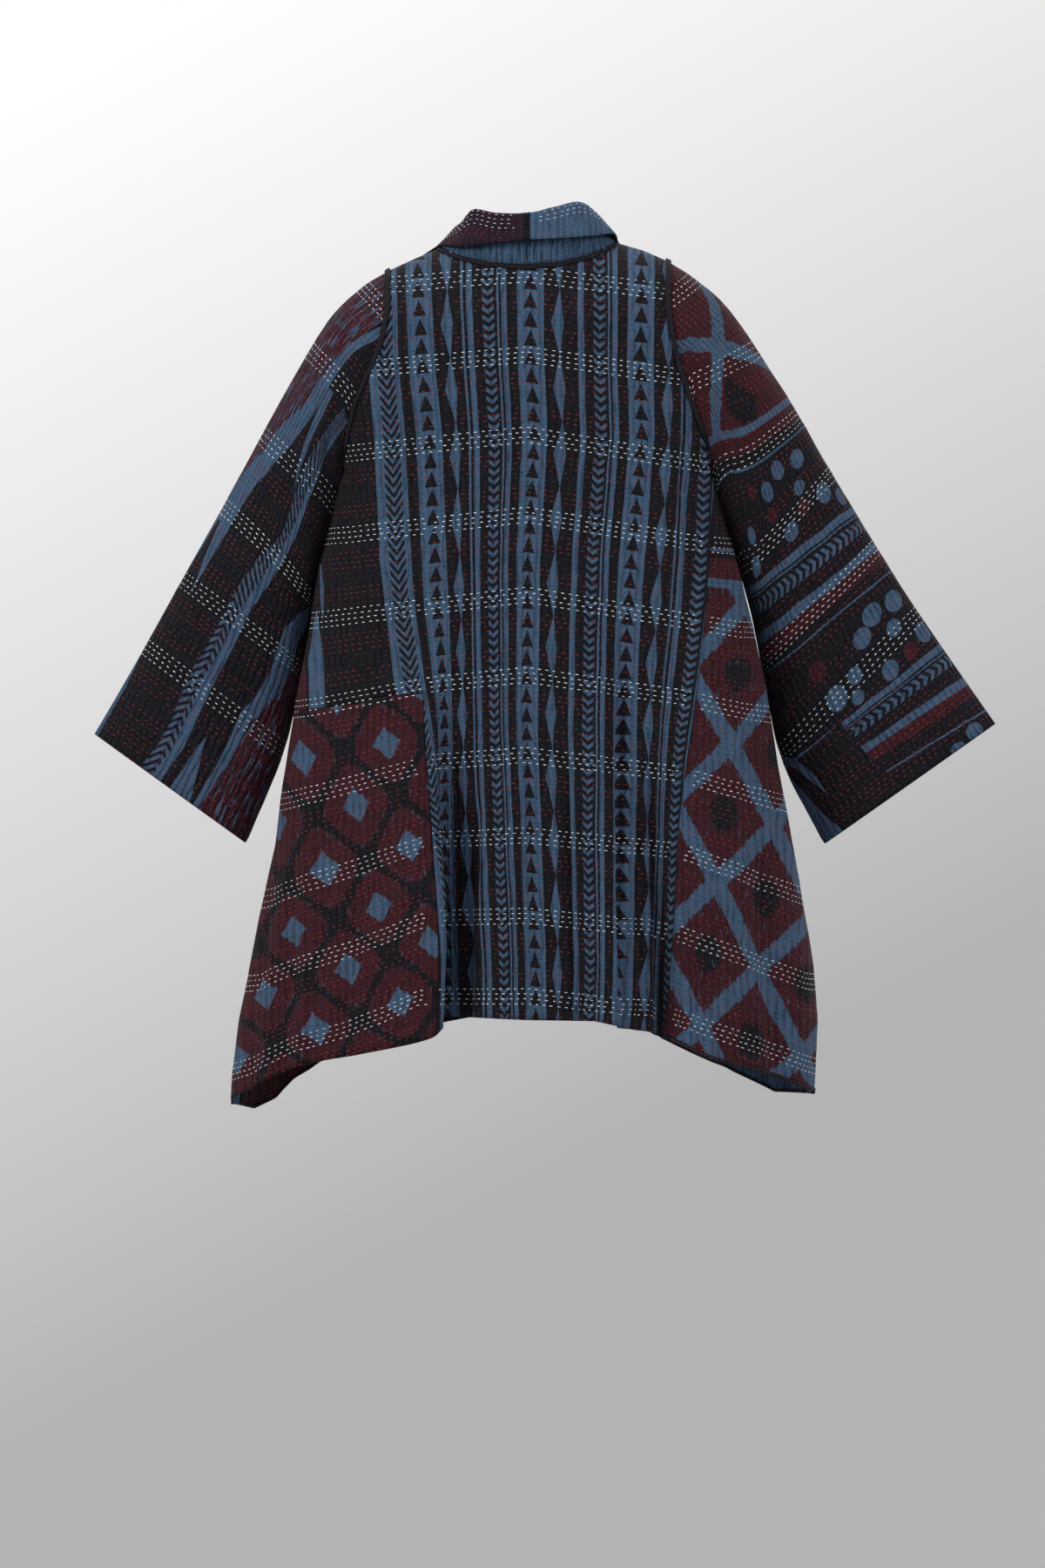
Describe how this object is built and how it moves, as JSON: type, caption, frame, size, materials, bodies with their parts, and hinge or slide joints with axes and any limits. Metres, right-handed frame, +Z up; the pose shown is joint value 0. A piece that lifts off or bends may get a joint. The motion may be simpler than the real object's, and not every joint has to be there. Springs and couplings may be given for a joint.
{
  "type": "kantha jacket",
  "caption": "Open-front kantha jacket in worn shape, with wide sleeves, a turned shawl collar, pieced printed panels and a hem that dips to points at the sides.",
  "frame": {"origin": "between the shoulders at the height of the neck base, where the wearer holds the jacket up", "axes": "+Z up, the back of the garment towards -Y, the wearer's right towards +X"},
  "size_m": [0.9685, 0.3259, 0.9693],
  "materials": {
    "striped_cotton": "matt stitched cotton",
    "lattice_cotton": "matt stitched cotton",
    "diamond_cotton": "matt stitched cotton",
    "front_cotton": "matt stitched cotton",
    "leaf_cotton": "matt stitched cotton",
    "banded_cotton": "matt stitched cotton",
    "plum_cotton": "matt stitched cotton",
    "blue_cotton": "matt stitched cotton",
    "black_binding": "matt stitched cotton"
  },
  "bodies": {
    "root": {"back_centre": "striped_cotton", "back_patch_left": "lattice_cotton", "back_side_right": "diamond_cotton", "front_left": "front_cotton", "front_right": "front_cotton", "sleeve_left": "leaf_cotton", "sleeve_right": "banded_cotton", "collar_left": "plum_cotton", "collar_right": "blue_cotton", "neck_binding": "black_binding", "armhole_binding_left": "black_binding", "armhole_binding_right": "black_binding", "side_binding_left": "black_binding", "side_binding_right": "black_binding"}
  },
  "joints": []
}
